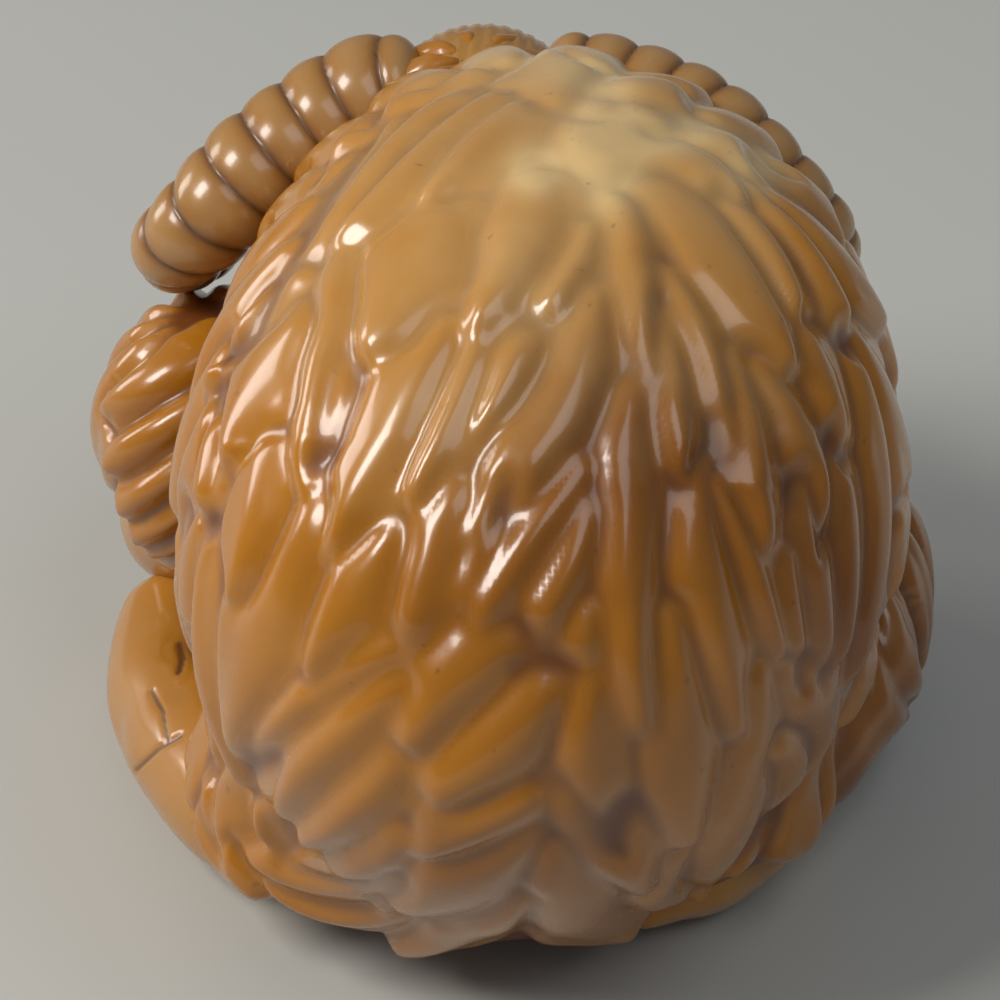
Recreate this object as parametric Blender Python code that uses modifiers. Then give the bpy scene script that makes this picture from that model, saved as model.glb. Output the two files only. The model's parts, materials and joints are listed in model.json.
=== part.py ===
"""Netsuke: a recumbent long-haired goat, carved from one piece and about 47 mm long.

The goat lies with its rump toward +Y and looks toward -Y; its left side is +X and +Z is up.
The origin is on the resting plane, under the middle of the carving. Run it with
blender --background --python part.py, or from the text editor.
"""

import math

import bmesh
import bpy
import numpy as np

MM = 0.001

# Whole carving. Places below are measured from a point under the middle of the trunk, and the
# finished carving is moved so that its origin is under the middle of the whole.
NAME = "goat"
ORIGIN = np.array([2.85, -2.5, 0.0]) * MM
REMESH_SIZE = 0.30 * MM
TRIANGLES = 9100
AMBER = (0.42, 0.17, 0.02, 1.0)
POLISH_ROUGHNESS = 0.22

# Masses: centre, radii and width of the blend with the masses before it, in millimetres
TRUNK = ((0.0, 0.0, 18.0), (14.9, 20.7, 16.7), 0.0)
LEFT_HAUNCH = ((4.9, 5.4, 5.4), (9.7, 7.1, 4.5), 5.0)
RIGHT_HAUNCH = ((-6.2, 2.3, 5.0), (6.1, 5.1, 3.2), 5.0)
MANE = ((3.2, -11.0, 19.8), (9.5, 9.4, 10.1), 5.0)
BELLY = ((0.5, -4.2, 5.0), (10.2, 14.6, 6.6), 3.0)
COAT = (TRUNK, LEFT_HAUNCH, RIGHT_HAUNCH, MANE, BELLY)
COAT_CENTRE = (0.4, 0.0, 15.0)
SHOULDER_HAIR = (((16.6, -9.9, 13.0), (5.0, 6.6, 6.3), 0.0),)
FRONT_FRINGE = ((-13.5, -9.7, 6.6), (2.5, 6.8, 4.8), 0.0)
REAR_FRINGE = ((-11.7, -2.9, 5.4), (3.1, 6.0, 3.5), 3.0)
BELLY_FRINGE = (FRONT_FRINGE, REAR_FRINGE)
POLL_HAIR = (((5.4, -15.6, 25.8), (4.6, 5.2, 4.2), 0.0),)
BEARD = (((6.4, -21.9, 12.3), (2.9, 3.3, 6.2), 0.0),)
BASE_ROUNDING = 1.5 * MM
BASE_DEPTH = 1.4 * MM
FRINGE_LOBES = 10
FRINGE_FRONT, FRINGE_REAR = (-14.2, -16.0, 10.5), (-12.4, 2.6, 7.8)
FRINGE_DROP = (-3.2, 0.6, -7.5)
FRINGE_LENGTH, FRINGE_WIDTH = 8.5, 2.1

# Parting of the hair down the back: fall from the top and bearing from the tail, in degrees
PARTING = ((20.0, -31.0), (37.0, -22.0), (56.0, -13.0), (78.0, -9.0), (110.0, -8.0))

# Locks of hair. Each starts narrower, swells and ends in a point that lies over the next root; it is
# domed across, the groove beside it takes a share of its half width, and one side stands higher.
LOCK_RISE = 1.15 * MM
UNDERCOAT_RISE = 1.0 * MM
LOCK_SUNK = 0.65 * MM
LOCK_STEPS = 8
LOCK_ROOT_SHARE = 0.6
LOCK_ROOT_WIDTH = 0.55
LOCK_TIP_WIDTH = 0.08
LOCK_DOME = 0.3
LOCK_REACH = 3.0
LOCK_TILT = 0.16
GROOVE_SHARE = 1.3
WORN_TOP = (-2.5, -1.5, 34.5)
WORN_RADIUS = 5.5 * MM
WORN_SHARE = 0.6

# Undercoat: rings of locks from the top down (degrees), their spread and their size (mm)
RING_START, RING_STEP, RINGS = 14.0, 18.0, 6
RING_LEAST, RING_MORE = 5, 29
UNDERCOAT_LENGTH, UNDERCOAT_WIDTH = 8.4, 3.1
UNDERCOAT_CLEAR = 2.3 * MM
UNDERCOAT_LEAN, PARTING_LEAN, PARTING_REACH = 8, 36, 30
LEAN_SPREAD, FALL_SPREAD, TIP_LEAN_SHARE = 5, 1.5, 0.6

# Limbs: centre line and radius at each of its points, in millimetres
LEFT_HIND_LEG = (
    (7.0, 7.5, 4.8, 2.8), (11.2, 5.6, 4.0, 3.2), (14.3, 1.8, 3.3, 3.2),
    (16.7, -2.4, 3.1, 3.2), (17.7, -6.3, 3.3, 3.0), (18.0, -9.9, 4.2, 2.4),
)
LEFT_FORELEG = (
    (15.0, -8.0, 10.4, 3.4), (17.8, -10.9, 7.4, 3.4), (17.0, -14.8, 4.2, 3.2),
    (11.5, -18.0, 2.4, 2.5), (6.8, -18.0, 2.2, 2.3),
)
RIGHT_HIND_LEG = (
    (-4.0, 7.0, 3.8, 2.6), (-7.0, 4.4, 2.8, 2.7), (-9.6, 0.0, 2.5, 2.6), (-10.4, -4.5, 2.3, 2.3),
)
RIGHT_FORELEG = (
    (-8.0, -10.0, 9.2, 3.4), (-11.2, -14.3, 6.2, 3.2), (-8.5, -17.6, 3.6, 2.9),
    (-4.6, -18.9, 2.4, 2.5), (-1.4, -18.0, 2.2, 2.2),
)
LEFT_EAR = (
    (8.0, -17.4, 25.2, 1.6), (9.8, -19.0, 26.6, 1.9), (11.8, -20.2, 26.5, 1.7), (13.6, -21.0, 25.1, 0.9),
)
RIGHT_EAR = (
    (3.2, -17.8, 25.2, 1.6), (0.8, -19.6, 26.4, 1.9), (-1.4, -20.8, 26.2, 1.7), (-3.2, -21.6, 24.7, 0.9),
)
EAR_FLATNESS = 0.45
HEAD = (
    (4.8, -11.5, 22.4, 5.2), (5.4, -16.6, 25.3, 4.6), (5.8, -20.2, 24.0, 4.1),
    (6.2, -22.8, 20.4, 3.1), (6.5, -24.2, 16.8, 2.6),
)
HEAD_FLATNESS = 0.92
LEFT_HORN = (
    (7.4, -16.6, 27.2, 2.7), (10.1, -15.8, 27.0, 2.7), (12.6, -14.3, 25.9, 2.6),
    (14.8, -12.4, 24.6, 2.5), (16.6, -11.0, 23.0, 2.2), (18.1, -11.4, 21.3, 1.9),
    (17.9, -13.8, 19.7, 1.6), (16.2, -16.4, 19.2, 1.1),
)
RIGHT_HORN = (
    (3.2, -17.0, 27.2, 2.7), (0.4, -17.4, 27.1, 2.7), (-2.4, -17.3, 26.6, 2.6),
    (-5.0, -16.7, 25.7, 2.5), (-7.5, -16.0, 24.0, 2.2), (-9.6, -16.4, 21.4, 1.9),
    (-9.6, -18.0, 18.8, 1.6), (-8.0, -20.2, 18.0, 1.1),
)
HORN_RIBS = 11
HORN_RIB_DEPTH = 0.2
CAP_SHARE = 0.12
LEFT_EYE, RIGHT_EYE = (9.1, -20.6, 23.2), (2.6, -20.9, 23.2)
EYE_RADIUS = 1.15 * MM
LEFT_HOOVES = (
    ((7.0, -17.2, 2.2, 1.9), (4.6, -17.0, 1.8, 1.7), (2.8, -16.7, 1.4, 1.1)),
    ((7.0, -18.9, 2.0, 1.9), (4.6, -19.1, 1.7, 1.7), (2.6, -19.1, 1.3, 1.1)),
)
RIGHT_HOOVES = (
    ((-0.8, -18.6, 2.2, 1.9), (0.6, -17.2, 1.8, 1.7), (1.6, -15.6, 1.4, 1.1)),
    ((-1.6, -17.2, 2.2, 1.9), (-0.6, -15.8, 1.8, 1.7), (0.2, -14.4, 1.4, 1.1)),
)

# Cord holes on the underside, joined by a tunnel
CORD_HOLE_RADIUS = 1.7 * MM
CORD_TUNNEL = (
    (-2.0, -6.6, -2.0), (-2.0, -5.8, 2.5), (-2.0, -1.8, 5.6), (-2.0, 2.2, 2.5), (-2.0, 3.0, -2.0),
)


def unit(vectors):
    """Each row scaled to a length of one."""
    return vectors / np.maximum(np.linalg.norm(vectors, axis=-1, keepdims=True), 1e-9)


def field(points, masses):
    """Signed distance, below 0 inside, of the blended masses, which end a little below the resting
    plane so that the cut along it leaves a flat."""
    total = None
    for centre, radii, blend in masses:
        offset = points - np.array(centre) * MM
        radii = np.array(radii) * MM
        inner = np.linalg.norm(offset / radii, axis=1)
        outer = np.linalg.norm(offset / radii**2, axis=1) + 1e-9
        distance = inner * (inner - 1) / outer
        if total is None:
            total = distance
        else:
            share = np.clip(0.5 + 0.5 * (distance - total) / (blend * MM), 0, 1)
            total = distance + (total - distance) * share - blend * MM * share * (1 - share)
    under = -BASE_DEPTH - points[:, 2]
    share = np.clip(0.5 + 0.5 * (total - under) / BASE_ROUNDING, 0, 1)
    return total * share + under * (1 - share) + BASE_ROUNDING * share * (1 - share)


def surface(directions, centre, masses):
    """The point of the masses' surface in each direction from the centre, by halving."""
    near = np.full(len(directions), 0.5 * MM)
    far = np.full(len(directions), 40.0 * MM)
    for _ in range(22):
        middle = (near + far) / 2
        inside = field(centre + directions * middle[:, None], masses) < 0
        near = np.where(inside, middle, near)
        far = np.where(inside, far, middle)
    return centre + directions * near[:, None]


def outward(points, masses):
    """Unit normals of the masses' surface: the slope of the field."""
    step = 0.05 * MM
    slopes = []
    for axis in np.eye(3) * step:
        slopes.append(field(points + axis, masses) - field(points - axis, masses))
    return unit(np.stack(slopes, -1))


def compass(directions):
    """For each direction, the unit vectors toward greater bearing and straight down the surface."""
    east = unit(np.stack([directions[:, 1], -directions[:, 0], 0 * directions[:, 0]], -1))
    down = np.cross(directions, east)
    return east, down * -np.sign(down[:, 2:3])


def lock_paths(locks, centre, masses):
    """Each lock's course over the surface, walked in short steps from its root."""
    bearing, fall = np.radians(locks[:, 0]), np.radians(locks[:, 1])
    level = np.sin(fall)
    toward = np.stack([level * np.sin(bearing), level * np.cos(bearing), np.cos(fall)], -1)
    courses = []
    for step in range(LOCK_STEPS + 1):
        points = surface(toward, centre, masses)
        courses.append(points)
        east, down = compass(toward)
        lean = np.radians(locks[:, 2] + (locks[:, 3] - locks[:, 2]) * step / LOCK_STEPS)[:, None]
        stride = locks[:, 4] * MM / LOCK_STEPS / np.linalg.norm(points - centre, axis=1)
        toward = unit(toward + (np.cos(lean) * down + np.sin(lean) * east) * stride[:, None])
    return np.stack(courses, 1)


def carve(points, normals, locks, paths):
    """Height of the locks at each point. A point belongs to the lock whose course is nearest for its
    width. The height falls to nothing in a groove where two locks are equally near, grows from each
    root to its tip, and is greater on one side of the lock. It is less where the top is worn."""
    first = np.full(len(points), 3 * LOCK_REACH)
    second = first.copy()
    crest = np.zeros(len(points))
    for lock, path in zip(locks, paths):
        half_width = lock[5] * MM / 2
        reach = lock[4] * MM / 2 + LOCK_REACH * half_width
        near = np.nonzero(((points - path[LOCK_STEPS // 2]) ** 2).sum(1) < reach**2)[0]
        if not len(near):
            continue
        starts, steps = path[:-1], np.diff(path, axis=0)
        offset = points[near, None] - starts
        share = np.clip((offset * steps).sum(2) / (steps**2).sum(1), 0, 1)
        offset = offset - share[..., None] * steps
        offset -= (offset * normals[near, None]).sum(2)[..., None] * normals[near, None]
        distance = np.linalg.norm(offset, axis=2)
        closest = distance.argmin(1)
        row = np.arange(len(near))
        along = (closest + share[row, closest]) / LOCK_STEPS
        swell = np.minimum(1, LOCK_ROOT_WIDTH + 1.5 * along) * np.sqrt(1 - along**2.5)
        across = distance[row, closest] / half_width / np.maximum(swell, LOCK_TIP_WIDTH)
        side = np.sign((np.cross(normals[near], steps[closest]) * offset[row, closest]).sum(1))
        height = lock[6] * MM * (LOCK_ROOT_SHARE + (1 - LOCK_ROOT_SHARE) * along)
        height *= 1 - LOCK_TILT * np.clip(side * across, -1, 1) - LOCK_DOME * np.minimum(across, 1) ** 2
        closer = across < first[near]
        mine, others = near[closer], near[~closer]
        second[mine], first[mine], crest[mine] = first[mine], across[closer], height[closer]
        second[others] = np.minimum(second[others], across[~closer])
    groove = np.clip((second - first) / GROOVE_SHARE, 0, 1)
    fade = np.clip(LOCK_REACH - first, 0, 1)
    from_worn = np.linalg.norm(points - np.array(WORN_TOP) * MM, axis=1)
    worn = 1 - WORN_SHARE * np.exp(-((from_worn / WORN_RADIUS) ** 2))
    return crest * (1 - (1 - groove) ** 2) * fade * worn


def lock_table(rows, rise=LOCK_RISE / MM):
    """Rows of bearing, fall, lean at the root, lean at the tip (degrees), length and width (mm), with
    the rise added. Bearing runs round the carving from the tail toward its left side, fall runs down
    from the top, and lean is measured from straight down toward greater bearing."""
    rows = np.array(rows, float)
    return np.column_stack([rows, np.full(len(rows), rise)])


def undercoat(named_paths):
    """Rings of locks all over the coat, which lean away from the parting of the back. They are left
    out where a named lock lies."""
    rows = []
    falls, bearings = np.array(PARTING).T
    draw = np.random.default_rng(7)
    for ring in range(RINGS):
        fall = RING_START + RING_STEP * ring
        parting = np.interp(fall, falls, bearings)
        count = int(RING_LEAST + RING_MORE * math.sin(math.radians(fall)))
        for place in range(count):
            away = (place + 0.5 * (ring % 2)) / count * 360 - 180
            side = 1 if away > 0 else -1
            lean = UNDERCOAT_LEAN + PARTING_LEAN * math.exp(-abs(away) / PARTING_REACH)
            lean *= side * (1 - (abs(away) / 180) ** 3)
            lean += draw.normal(0, LEAN_SPREAD)
            start = fall + draw.normal(0, FALL_SPREAD)
            size = (UNDERCOAT_LENGTH, UNDERCOAT_WIDTH)
            rows.append((parting + away, start, lean, lean * TIP_LEAN_SHARE, *size))
    locks = lock_table(rows, UNDERCOAT_RISE / MM)
    middles = lock_paths(locks, np.array(COAT_CENTRE) * MM, COAT)[:, LOCK_STEPS // 2]
    named = named_paths.reshape(-1, 3)
    clearance = np.linalg.norm(middles[:, None] - named, axis=2).min(1)
    return locks[clearance > UNDERCOAT_CLEAR]


def left_side():
    """The herringbone left of the parting: leaves beside it, the next column and the flank."""
    beside_parting = (
        (-13, 11, 13, 21, 8.1, 2.8), (-28, 18, 28, 47, 6.7, 1.6), (-23, 27, 15, 53, 12.3, 1.9),
        (-16, 47, 41, 24, 7.7, 1.6), (-16, 51, 19, 44, 7.1, 1.8), (-13, 68, 37, 53, 7.9, 2.6),
        (-10, 81, 49, 58, 6.6, 2.4), (-8, 89, 46, 31, 12.1, 3.6), (-8, 100, 17, 47, 13.4, 2.0),
    )
    second_column = (
        (29, 19, -15, -3, 6.6, 4.2), (10, 32, 6, 20, 10.1, 2.2), (2, 34, 10, 15, 6.7, 1.6),
        (-9, 30, 19, 26, 5.3, 1.5), (-6, 49, 30, 10, 4.9, 0.9), (2, 51, 11, 12, 6.3, 1.9),
        (-8, 64, 59, 14, 7.5, 2.0),
    )
    left_flank = (
        (50, 28, -51, -7, 10.6, 2.0), (29, 38, -28, 8, 5.2, 1.2), (10, 57, 25, 17, 6.7, 2.4),
        (6, 66, 54, 13, 19.2, 1.4), (6, 71, 43, 24, 11.8, 1.5), (5, 78, 31, 40, 10.8, 1.3),
        (6, 91, 26, 68, 12.2, 2.0), (8, 99, 23, 105, 13.7, 2.6), (11, 112, 12, 147, 10.2, 1.5),
    )
    left_edge = (
        (61, 33, 19, -31, 5.4, 2.8), (44, 38, 14, -33, 5.9, 3.5), (35, 52, -26, 15, 6.3, 2.3),
        (21, 57, 15, 19, 16.2, 3.0), (58, 52, -54, -21, 6.0, 2.0), (45, 64, -8, -14, 15.7, 2.0),
        (81, 81, -31, -47, 14.2, 1.7), (44, 108, 31, -72, 6.3, 3.1),
    )
    return lock_table(beside_parting + second_column + left_flank + left_edge)


def right_side():
    """The longer locks right of the parting and down the right side of the back."""
    right_of_parting = (
        (-49, 16, 28, 10, 9.4, 1.9), (-37, 30, 21, -1, 7.8, 1.8), (-44, 25, 1, 18, 9.0, 1.5),
        (-25, 40, 18, -13, 13.4, 2.4), (-32, 50, 11, -24, 11.3, 2.7),
        (-37, 76, 4, -17, 17.0, 3.1),
    )
    right_back = (
        (-152, 18, 114, 14, 7.9, 4.8), (-77, 18, 24, 13, 8.7, 3.6), (-48, 39, 22, 7, 7.6, 2.3),
        (-35, 51, -11, -15, 8.1, 1.5), (-52, 41, -21, 37, 7.9, 2.4), (-90, 24, 33, 42, 6.4, 2.7),
        (-105, 27, 31, 35, 8.4, 2.4), (-71, 40, 20, 20, 5.8, 2.4),
    )
    right_flank = (
        (-116, 56, 38, 57, 20.6, 2.3), (-85, 46, 20, 47, 14.8, 2.1),
        (-64, 52, 14, 28, 10.3, 2.0), (-52, 55, 10, -4, 9.0, 2.2), (-45, 62, 14, -28, 6.4, 1.6),
    )
    return lock_table(right_of_parting + right_back + right_flank)


def rump_and_mane():
    """The big leaves of the rump, and the locks that fan from the poll over the left shoulder."""
    rump_leaves = (
        (-15, 62, 13, -35, 12.3, 2.4), (-25, 64, -5, -4, 11.6, 2.6),
        (-10, 80, -36, -20, 10.5, 2.2), (-10, 90, -6, -35, 16.4, 2.8),
        (-28, 97, 19, -86, 12.3, 2.0), (-43, 76, -46, 45, 16.0, 2.9),
        (-41, 88, -53, 49, 13.5, 2.5),
    )
    mane = (
        (129, 25, -117, 46, 17.3, 2.1), (138, 19, -106, -7, 11.8, 4.1),
        (150, 15, -125, 5, 11.2, 3.0), (160, 10, -143, 19, 8.5, 2.5),
        (155, 28, -81, -72, 8.6, 2.9),
    )
    return lock_table(rump_leaves + mane)


def fan(count, first, last, fall, leans, length, width):
    """Locks side by side, from one bearing to another, at one fall."""
    return [(b, fall, leans[0], leans[1], length, width) for b in np.linspace(first, last, count)]


def shoulder_locks():
    """Long locks of the left shoulder, one below another, which fall back and outward."""
    rows = [(-36 + 2 * row, 20 + 17 * row, 62 - 3 * row, 46 - 3 * row, 8.5, 2.5) for row in range(6)]
    return lock_table(rows + fan(5, 60, 180, 35, (20, 10), 9.0, 3.2))


def fringe():
    """The fringe of the right flank: lobes side by side, each draped outward and down. It gives their
    rows and their courses."""
    share = np.linspace(0, 1, FRINGE_LOBES)[:, None]
    roots = np.array(FRINGE_FRONT) * (1 - share) + np.array(FRINGE_REAR) * share
    tips = roots + np.array(FRINGE_DROP)
    centre = np.array(FRONT_FRINGE[0])
    reach = np.linspace(0, 1, LOCK_STEPS + 1)[:, None]
    paths = []
    for root, tip in zip(roots, tips):
        toward = unit((root - centre) * (1 - reach) + (tip - centre) * reach)
        paths.append(surface(toward, centre * MM, BELLY_FRINGE))
    rows = [(0, 0, 0, 0, FRINGE_LENGTH, FRINGE_WIDTH)] * FRINGE_LOBES
    return lock_table(rows), np.array(paths)


def sphere_directions(subdivisions):
    """An icosphere of radius one, as a mesh and as an array of its vertices."""
    shape = bmesh.new()
    bmesh.ops.create_icosphere(shape, subdivisions=subdivisions, radius=1.0)
    mesh = bpy.data.meshes.new("mass")
    shape.to_mesh(mesh)
    shape.free()
    return mesh, read_vertices(mesh)


def read_vertices(mesh):
    """The mesh's vertices as an array of rows."""
    values = np.empty(len(mesh.vertices) * 3)
    mesh.vertices.foreach_get("co", values)
    return values.reshape(-1, 3)


def write_vertices(mesh, points):
    """Puts the rows back as the mesh's vertices."""
    mesh.vertices.foreach_set("co", points.ravel())
    mesh.update()


def hairy_mass(masses, centre, locks, subdivisions, paths=None):
    """A closed sphere pushed out to the surface of the masses, with its locks carved on it."""
    mesh, directions = sphere_directions(subdivisions)
    centre = np.array(centre) * MM
    if paths is None:
        paths = lock_paths(locks, centre, masses)
    points = surface(unit(directions), centre, masses)
    normals = outward(points, masses)
    height = carve(points, normals, locks, paths)
    write_vertices(mesh, points + normals * (height - LOCK_SUNK)[:, None])
    return mesh


def spline(stations, shares):
    """A smooth course through the stations, at the given shares of its length (Catmull-Rom)."""
    stations = np.array(stations, float) * MM
    ends = np.vstack([2 * stations[0] - stations[1], stations, 2 * stations[-1] - stations[-2]])
    place = np.clip(shares, 0, 1) * (len(stations) - 1)
    knot = np.minimum(place.astype(int), len(stations) - 2)
    t = (place - knot)[:, None]
    before, start, end, after = (ends[knot + i] for i in range(4))
    return 0.5 * (
        2 * start + (end - before) * t + (2 * before - 5 * start + 4 * end - after) * t**2
        + (3 * start - before - 3 * end + after) * t**3
    )


def limb(stations, rings=48, segments=20, flatness=1.0, ribs=0, rib_depth=0.0, level=(0.12, 0.1, 1.0)):
    """A closed sphere drawn out along a course: rounded at both ends, oval across where the
    flatness is under 1, and cut round by ribs. Its broad side lies square to the level."""
    shape = bmesh.new()
    bmesh.ops.create_uvsphere(shape, u_segments=segments, v_segments=rings, radius=1.0)
    mesh = bpy.data.meshes.new("limb")
    shape.to_mesh(mesh)
    shape.free()
    ball = read_vertices(mesh)
    share = np.arccos(np.clip(-ball[:, 2], -1, 1)) / np.pi
    turn = np.arctan2(ball[:, 1], ball[:, 0])
    course = spline(stations, share)
    ahead = spline(stations, np.minimum(share + 0.01, 1.0))
    behind = spline(stations, np.maximum(share - 0.01, 0.0))
    tangent = unit((ahead - behind)[:, :3])
    side = unit(np.cross(tangent, level))
    rise = np.cross(tangent, side)
    from_end = np.clip(np.minimum(share, 1 - share) / CAP_SHARE, 0, 1)
    radius = course[:, 3] * np.sqrt(1 - (1 - from_end) ** 2)
    if ribs:
        radius *= 1 - rib_depth + rib_depth * 1.6 * np.sqrt(np.abs(np.sin(np.pi * ribs * share)))
    offset = side * np.cos(turn)[:, None] + rise * (flatness * np.sin(turn))[:, None]
    write_vertices(mesh, course[:, :3] + offset * radius[:, None])
    return mesh


def ball(centre, radius):
    """A plain sphere, for an eye."""
    mesh, directions = sphere_directions(3)
    write_vertices(mesh, np.array(centre) * MM + directions * radius)
    return mesh


def joined(meshes):
    """One mesh of all the shapes, each still its own closed shell, with faces outward."""
    shape = bmesh.new()
    for mesh in meshes:
        shape.from_mesh(mesh)
        bpy.data.meshes.remove(mesh)
    bmesh.ops.recalc_face_normals(shape, faces=shape.faces)
    mesh = bpy.data.meshes.new(NAME)
    shape.to_mesh(mesh)
    shape.free()
    return mesh


def collection(name):
    """A new collection in the scene."""
    made = bpy.data.collections.new(name)
    bpy.context.scene.collection.children.link(made)
    return made


def material():
    """Polished amber-coloured carving material."""
    made = bpy.data.materials.new("polished amber")
    made.use_nodes = True
    shader = made.node_tree.nodes["Principled BSDF"]
    shader.inputs["Base Color"].default_value = AMBER
    shader.inputs["Roughness"].default_value = POLISH_ROUGHNESS
    shader.inputs["Metallic"].default_value = 0.0
    return made


def cutter(name, mesh, place):
    """A helper that cuts the carving and is not part of it."""
    made = bpy.data.objects.new(name, mesh)
    made.hide_render = True
    made.display_type = "WIRE"
    place.objects.link(made)
    return made


def resting_slab():
    """A block below the resting plane."""
    shape = bmesh.new()
    bmesh.ops.create_cube(shape, size=1.0)
    bmesh.ops.scale(shape, vec=(90 * MM, 90 * MM, 20 * MM), verts=shape.verts)
    bmesh.ops.translate(shape, vec=(0, 0, -10 * MM), verts=shape.verts)
    mesh = bpy.data.meshes.new("resting_slab")
    shape.to_mesh(mesh)
    shape.free()
    return mesh


def subtract(target, tool):
    """Cuts the tool out of the target."""
    cut = target.modifiers.new(tool.name, "BOOLEAN")
    cut.operation = "DIFFERENCE"
    cut.solver = "EXACT"
    cut.object = tool


for old in list(bpy.data.objects):
    bpy.data.objects.remove(old, do_unlink=True)
parts = collection("goat netsuke")
cutters = collection("cutters")

named_locks = np.vstack([left_side(), right_side(), rump_and_mane()])
named_paths = lock_paths(named_locks, np.array(COAT_CENTRE) * MM, COAT)
coat_locks = np.vstack([named_locks, undercoat(named_paths)])
fringe_locks, fringe_paths = fringe()
shapes = [
    hairy_mass(COAT, COAT_CENTRE, coat_locks, 8),
    hairy_mass(SHOULDER_HAIR, SHOULDER_HAIR[0][0], shoulder_locks(), 6),
    hairy_mass(BELLY_FRINGE, FRONT_FRINGE[0], fringe_locks, 6, fringe_paths),
    hairy_mass(POLL_HAIR, POLL_HAIR[0][0], lock_table(fan(9, -160, 160, 30, (0, 0), 5.5, 2.8)), 5),
    hairy_mass(BEARD, BEARD[0][0], lock_table(fan(7, 70, 290, 60, (0, 0), 10.0, 2.6)), 5),
    limb(HEAD, flatness=HEAD_FLATNESS, segments=32),
    limb(LEFT_EAR, flatness=EAR_FLATNESS),
    limb(RIGHT_EAR, flatness=EAR_FLATNESS),
    limb(LEFT_HORN, rings=160, segments=32, ribs=HORN_RIBS, rib_depth=HORN_RIB_DEPTH),
    limb(RIGHT_HORN, rings=160, segments=32, ribs=HORN_RIBS, rib_depth=HORN_RIB_DEPTH),
    limb(LEFT_HIND_LEG),
    limb(LEFT_FORELEG),
    limb(RIGHT_HIND_LEG),
    limb(RIGHT_FORELEG),
    ball(LEFT_EYE, EYE_RADIUS),
    ball(RIGHT_EYE, EYE_RADIUS),
]
shapes += [limb(hoof) for hoof in LEFT_HOOVES + RIGHT_HOOVES]
carving = joined(shapes)
write_vertices(carving, read_vertices(carving) - ORIGIN)
goat = bpy.data.objects.new(NAME, carving)
parts.objects.link(goat)
carving.materials.append(material())

fuse = goat.modifiers.new("fuse", "REMESH")
fuse.mode = "VOXEL"
fuse.voxel_size = REMESH_SIZE
bpy.context.view_layer.update()
fused = goat.evaluated_get(bpy.context.evaluated_depsgraph_get())
triangles = sum(len(face.vertices) - 2 for face in fused.data.polygons)
facets = goat.modifiers.new("facets", "DECIMATE")
facets.ratio = TRIANGLES / triangles

tunnel_stations = [(*place, CORD_HOLE_RADIUS / MM) for place in CORD_TUNNEL]
tunnel = limb(tunnel_stations, rings=24, segments=16, level=(1.0, 0.0, 0.0))
write_vertices(tunnel, read_vertices(tunnel) - ORIGIN)
subtract(goat, cutter("cord_tunnel", tunnel, cutters))
subtract(goat, cutter("resting_slab", resting_slab(), cutters))
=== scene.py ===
"""Netsuke of a recumbent long-haired goat: the fine carving and the finish, over its solid."""

import json

import bpy
import numpy as np
from mathutils import Matrix, Vector

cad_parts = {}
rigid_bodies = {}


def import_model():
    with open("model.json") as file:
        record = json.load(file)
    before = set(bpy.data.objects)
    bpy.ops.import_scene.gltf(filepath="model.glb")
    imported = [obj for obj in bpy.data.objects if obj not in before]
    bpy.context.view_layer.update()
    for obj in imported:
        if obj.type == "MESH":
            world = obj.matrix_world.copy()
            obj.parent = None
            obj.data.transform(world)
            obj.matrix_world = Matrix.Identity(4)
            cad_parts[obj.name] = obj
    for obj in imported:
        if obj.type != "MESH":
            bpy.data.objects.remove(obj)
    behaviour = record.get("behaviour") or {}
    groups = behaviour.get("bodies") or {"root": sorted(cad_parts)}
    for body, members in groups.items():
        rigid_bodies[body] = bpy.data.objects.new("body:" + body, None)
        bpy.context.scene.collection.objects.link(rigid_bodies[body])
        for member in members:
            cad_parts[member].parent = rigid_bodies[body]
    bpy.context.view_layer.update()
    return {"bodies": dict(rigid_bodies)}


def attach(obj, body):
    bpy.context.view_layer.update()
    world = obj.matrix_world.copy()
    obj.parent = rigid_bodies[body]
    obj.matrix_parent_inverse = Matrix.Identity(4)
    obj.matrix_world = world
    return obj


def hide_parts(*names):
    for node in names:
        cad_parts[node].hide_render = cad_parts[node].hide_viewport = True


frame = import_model()

# The coat. The goat's trunk, haunches, mane and belly are one rounded mass, covered with pointed
# locks that overlap like leaves on both sides of a parting. It is carved in the one piece, stained
# amber, rubbed pale on the highest part, and drilled below with two holes for a cord.
MM = 0.001
ROOT = next(iter(frame["bodies"]))
ORIGIN = np.array([2.85, -2.5, 0.0])
TRUNK = ((0.0, 0.0, 18.0), (14.9, 20.7, 16.7), 0.0)
LEFT_HAUNCH = ((4.9, 5.4, 5.4), (9.7, 7.1, 4.5), 5.0)
RIGHT_HAUNCH = ((-6.2, 2.3, 5.0), (6.1, 5.1, 3.2), 5.0)
MANE = ((3.2, -11.0, 19.8), (9.5, 9.4, 10.1), 5.0)
BELLY = ((0.5, -4.2, 5.0), (10.2, 14.6, 6.6), 3.0)
COAT = (TRUNK, LEFT_HAUNCH, RIGHT_HAUNCH, MANE, BELLY)
COAT_CENTRE = (0.4, 0.0, 15.0)
BASE_ROUNDING, BASE_DEPTH = 1.5, 1.4
LOCK_RISE, UNDERCOAT_RISE, LOCK_SUNK = 1.15, 1.0, 0.65
LOCK_STEPS, LOCK_ROOT_SHARE, LOCK_ROOT_WIDTH, LOCK_TIP_WIDTH = 8, 0.6, 0.55, 0.08
LOCK_DOME, LOCK_REACH, LOCK_TILT, GROOVE_SHARE = 0.3, 3.0, 0.16, 1.3
STRAND_DEPTH, STRAND_WAVES = 0.022, 9.0
WORN_TOP, WORN_RADIUS, WORN_SHARE = (-2.5, -1.5, 34.5), 5.5, 0.6
PARTING = ((20.0, -31.0), (37.0, -22.0), (56.0, -13.0), (78.0, -9.0), (110.0, -8.0))
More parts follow.
